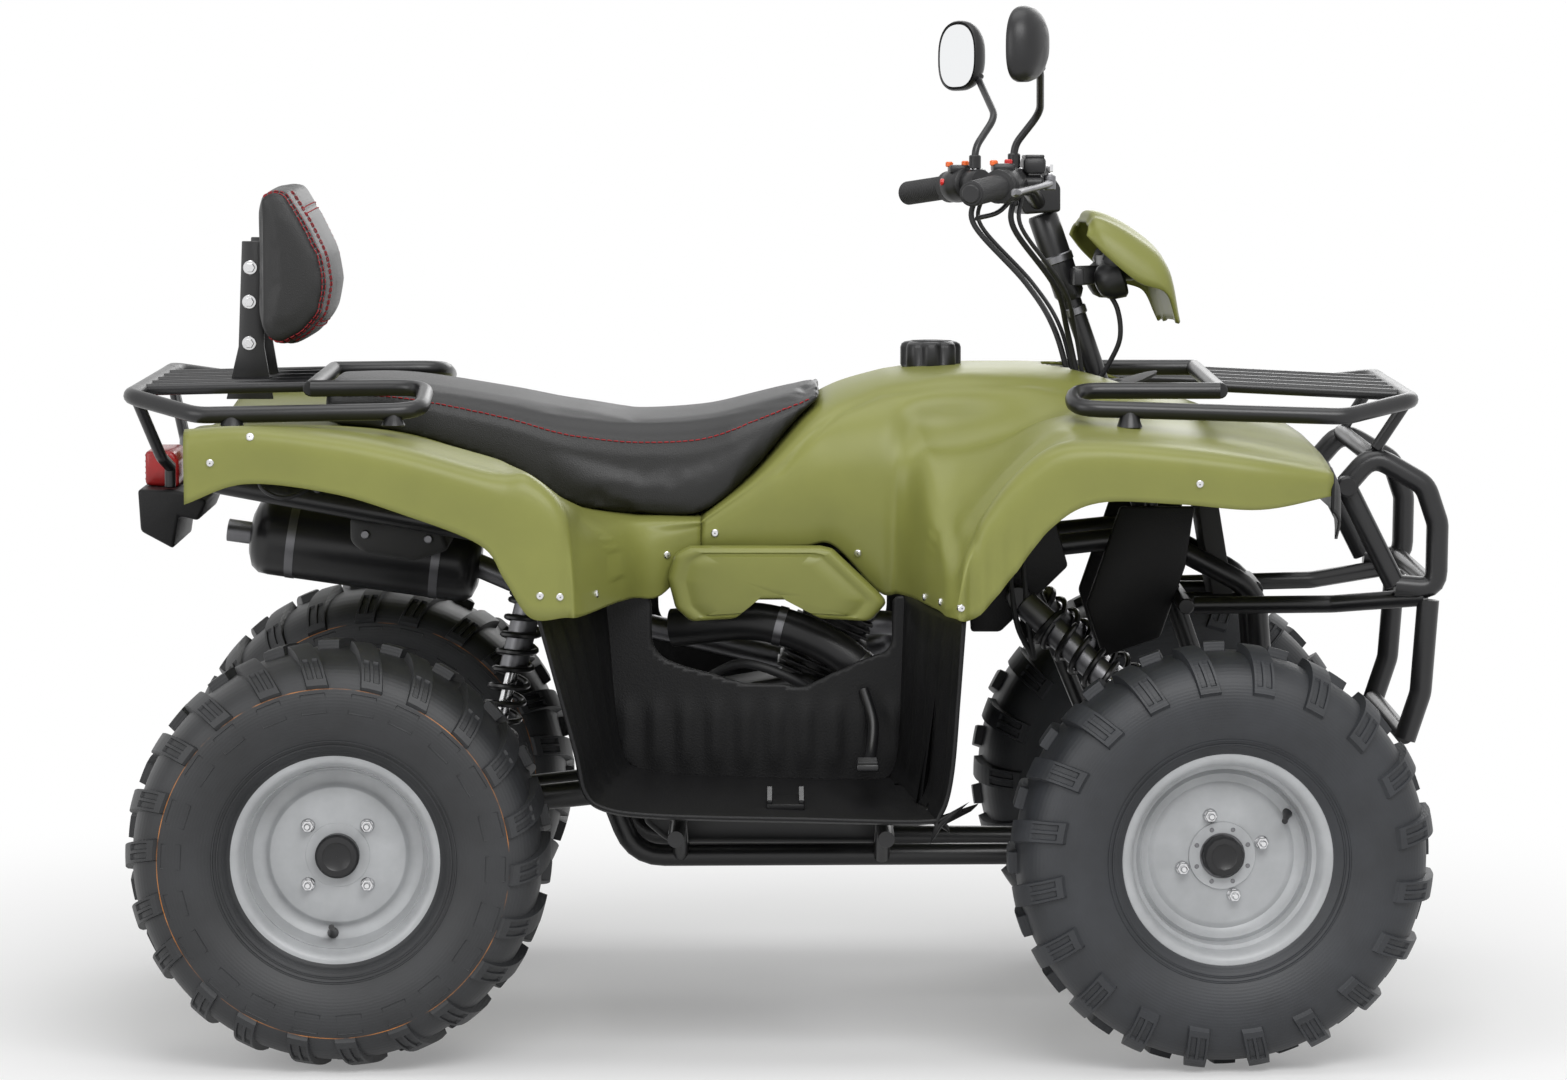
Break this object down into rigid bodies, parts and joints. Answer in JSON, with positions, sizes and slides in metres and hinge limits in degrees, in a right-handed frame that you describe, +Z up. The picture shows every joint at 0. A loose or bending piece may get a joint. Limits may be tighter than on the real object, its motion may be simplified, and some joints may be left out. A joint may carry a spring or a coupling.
{
  "type": "quad bike",
  "caption": "Utility quad bike with lugged balloon tyres, moulded fenders and footwells, tube racks, bumper, saddle with backrest, mirrors and steered front wheels.",
  "frame": {"origin": "on the floor under the middle of the vehicle's overall length and width", "axes": "+X forward, +Y to the rider's left, +Z up"},
  "size_m": [1.7765, 1.084, 1.391],
  "materials": {
    "olive_plastic": "satin moulded plastic, olive green",
    "black_plastic": "textured black moulded plastic",
    "black_paint": "black powder coat",
    "seat_vinyl": "black vinyl with red stitching",
    "engine_metal": "dark cast metal",
    "damper_steel": "steel damper with dark spring",
    "tyre": "black rubber",
    "wheel_silver": "silver painted pressed steel",
    "hub_steel": "steel",
    "grip_rubber": "black rubber",
    "mirror_face": "silvered glass",
    "lamp_lens": "dark round lamp",
    "tail_lens": "red lamp lens"
  },
  "bodies": {
    "chassis": {"airbox": "black_plastic", "backrest_bracket": "black_paint", "backrest_pad": "seat_vinyl", "engine": "engine_metal", "exhaust": "black_paint", "foot_controls": "black_paint", "footwell_left": "black_plastic", "footwell_right": "black_plastic", "frame": "black_paint", "front_body": "olive_plastic", "front_bumper": "black_paint", "front_rack": "black_paint", "front_shocks": "damper_steel", "fuel_cap": "black_plastic", "nose_panel": "black_plastic", "rear_body": "olive_plastic", "rear_mudguard": "black_plastic", "rear_rack": "black_paint", "rear_shock": "damper_steel", "seat": "seat_vinyl", "side_cover_left": "olive_plastic", "side_cover_right": "olive_plastic", "swingarm": "black_paint", "tail_light": "tail_lens", "wishbones": "black_paint"},
    "upright_right": {"knuckle_right": "black_paint"},
    "rod_right": {"tie_rod_right": "black_paint"},
    "front_wheel_right": {"front_tyre_right": "tyre", "front_rim_right": "wheel_silver", "front_hub_right": "hub_steel"},
    "upright_left": {"knuckle_left": "black_paint"},
    "rod_left": {"tie_rod_left": "black_paint"},
    "front_wheel_left": {"front_tyre_left": "tyre", "front_rim_left": "wheel_silver", "front_hub_left": "hub_steel"},
    "rear_wheels": {"rear_axle": "hub_steel", "rear_rim_left": "wheel_silver", "rear_rim_right": "wheel_silver", "rear_tyre_left": "tyre", "rear_tyre_right": "tyre"},
    "steering": {"steering_column": "black_paint", "handlebar": "black_paint", "bar_clamp": "black_plastic", "grips": "grip_rubber", "switchgear": "black_plastic", "brake_levers": "black_paint", "mirrors": "black_plastic", "mirror_glass": "mirror_face", "headlight_pod": "olive_plastic", "headlight_bracket": "black_paint", "headlight_lens": "lamp_lens", "control_cables": "grip_rubber"}
  },
  "joints": [
    {"name": "steer", "type": "hinge", "parent": "chassis", "child": "steering", "pos_m": [0.41802, 0, 0.9009], "axis": [-0.3272, 0, 0.9449], "range_deg": [-37.5, 26.5]},
    {"name": "kingpin_right", "type": "hinge", "parent": "chassis", "child": "upright_right", "pos_m": [0.55602, -0.325, 0.2786], "axis": [-0.1392, 0, 0.9903], "range_deg": [-38, 27]},
    {"name": "tie_rod_pin_right", "type": "hinge", "parent": "steering", "child": "rod_right", "pos_m": [0.55997, -0.03163, 0.31607], "axis": [-0.3272, 0, 0.9449], "range_deg": [-27, 38]},
    {"name": "front_wheel_spin_right", "type": "hinge", "parent": "upright_right", "child": "front_wheel_right", "pos_m": [0.56599, -0.42952, 0.28], "axis": [-0.0949, 0.9954, -0.0133], "continuous": true},
    {"name": "kingpin_left", "type": "hinge", "parent": "chassis", "child": "upright_left", "pos_m": [0.55602, 0.325, 0.2814], "axis": [-0.1392, 0, 0.9903], "range_deg": [-38, 27]},
    {"name": "tie_rod_pin_left", "type": "hinge", "parent": "steering", "child": "rod_left", "pos_m": [0.55526, 0.02013, 0.31444], "axis": [-0.3272, 0, 0.9449], "range_deg": [-27, 38]},
    {"name": "front_wheel_spin_left", "type": "hinge", "parent": "upright_left", "child": "front_wheel_left", "pos_m": [0.54606, 0.42952, 0.28], "axis": [-0.0949, 0.9954, -0.0133], "continuous": true},
    {"name": "rear_axle_spin", "type": "hinge", "parent": "chassis", "child": "rear_wheels", "pos_m": [-0.59398, 0, 0.28], "axis": [0, 1, 0], "continuous": true}
  ],
  "couplings": [
    {"joint": "kingpin_right", "follows": "steer", "ratio": 1},
    {"joint": "tie_rod_pin_right", "follows": "steer", "ratio": -1},
    {"joint": "kingpin_left", "follows": "steer", "ratio": 1},
    {"joint": "tie_rod_pin_left", "follows": "steer", "ratio": -1}
  ]
}
